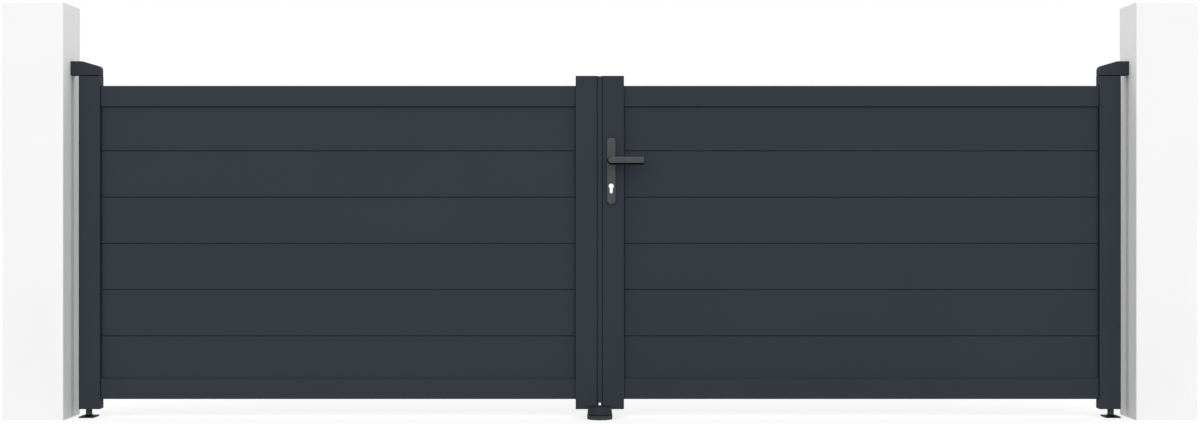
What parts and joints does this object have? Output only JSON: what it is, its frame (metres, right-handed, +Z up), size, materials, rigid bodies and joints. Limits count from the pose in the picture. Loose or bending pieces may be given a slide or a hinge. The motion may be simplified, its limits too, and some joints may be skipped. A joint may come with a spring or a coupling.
{
  "type": "double swing driveway gate",
  "caption": "Boarded double-leaf swing driveway gate between plain square pillars, with floor pivots, top hinge brackets, a ground stop and a lever lock.",
  "frame": {"origin": "middle of the left pillar's foot, on the ground", "axes": "+X along the gate from the left pillar to the right one, +Y from the street into the drive, +Z up"},
  "size_m": [3.9, 0.201, 1.365],
  "materials": {
    "rendered_masonry": "matte",
    "powder_coated_aluminium": "satin",
    "painted_cast_aluminium": "satin",
    "black_coated_steel": "satin",
    "moulded_nylon": "matte",
    "epdm_rubber": "matte",
    "satin_grey_aluminium": "satin",
    "stainless_steel": "satin"
  },
  "bodies": {
    "posts": {"left_pillar": "rendered_masonry", "right_pillar": "rendered_masonry", "left_top_hinge": "painted_cast_aluminium", "right_top_hinge": "painted_cast_aluminium", "left_floor_pivot": "black_coated_steel", "right_floor_pivot": "black_coated_steel", "centre_stop": "moulded_nylon"},
    "left_leaf": {"left_hinge_stile": "powder_coated_aluminium", "left_hinge_stile_foot": "moulded_nylon", "left_hinge_stile_head": "moulded_nylon", "left_meeting_stile": "powder_coated_aluminium", "left_meeting_stile_foot": "moulded_nylon", "left_meeting_stile_head": "moulded_nylon", "left_top_rail": "powder_coated_aluminium", "left_bottom_rail": "powder_coated_aluminium", "left_board_1": "powder_coated_aluminium", "left_board_2": "powder_coated_aluminium", "left_board_3": "powder_coated_aluminium", "left_board_4": "powder_coated_aluminium", "left_board_5": "powder_coated_aluminium", "left_board_6": "powder_coated_aluminium", "strike_plate": "stainless_steel"},
    "right_leaf": {"right_hinge_stile": "powder_coated_aluminium", "right_hinge_stile_foot": "moulded_nylon", "right_hinge_stile_head": "moulded_nylon", "right_meeting_stile": "powder_coated_aluminium", "right_meeting_stile_foot": "moulded_nylon", "right_meeting_stile_head": "moulded_nylon", "right_top_rail": "powder_coated_aluminium", "right_bottom_rail": "powder_coated_aluminium", "right_board_1": "powder_coated_aluminium", "right_board_2": "powder_coated_aluminium", "right_board_3": "powder_coated_aluminium", "right_board_4": "powder_coated_aluminium", "right_board_5": "powder_coated_aluminium", "right_board_6": "powder_coated_aluminium", "meeting_seal": "epdm_rubber", "lock_case": "stainless_steel", "street_handle_plate": "satin_grey_aluminium", "drive_handle_plate": "satin_grey_aluminium"},
    "lever": {"street_lever": "satin_grey_aluminium", "drive_lever": "satin_grey_aluminium", "lever_spindle": "stainless_steel"}
  },
  "joints": [
    {"name": "left_leaf_swing", "type": "hinge", "parent": "posts", "child": "left_leaf", "pos_m": [0.155, 0.009, 0.028], "axis": [0, 0, 1], "range_deg": [0, 90]},
    {"name": "right_leaf_swing", "type": "hinge", "parent": "posts", "child": "right_leaf", "pos_m": [3.545, 0.009, 0.028], "axis": [0, 0, -1], "range_deg": [0, 90]},
    {"name": "lever_turn", "type": "hinge", "parent": "right_leaf", "child": "lever", "pos_m": [1.888, 0.009, 0.851], "axis": [0, 1, 0], "range_deg": [0, 40], "stiffness_Nm_per_rad": 1.5, "springref_deg": -28.65}
  ]
}
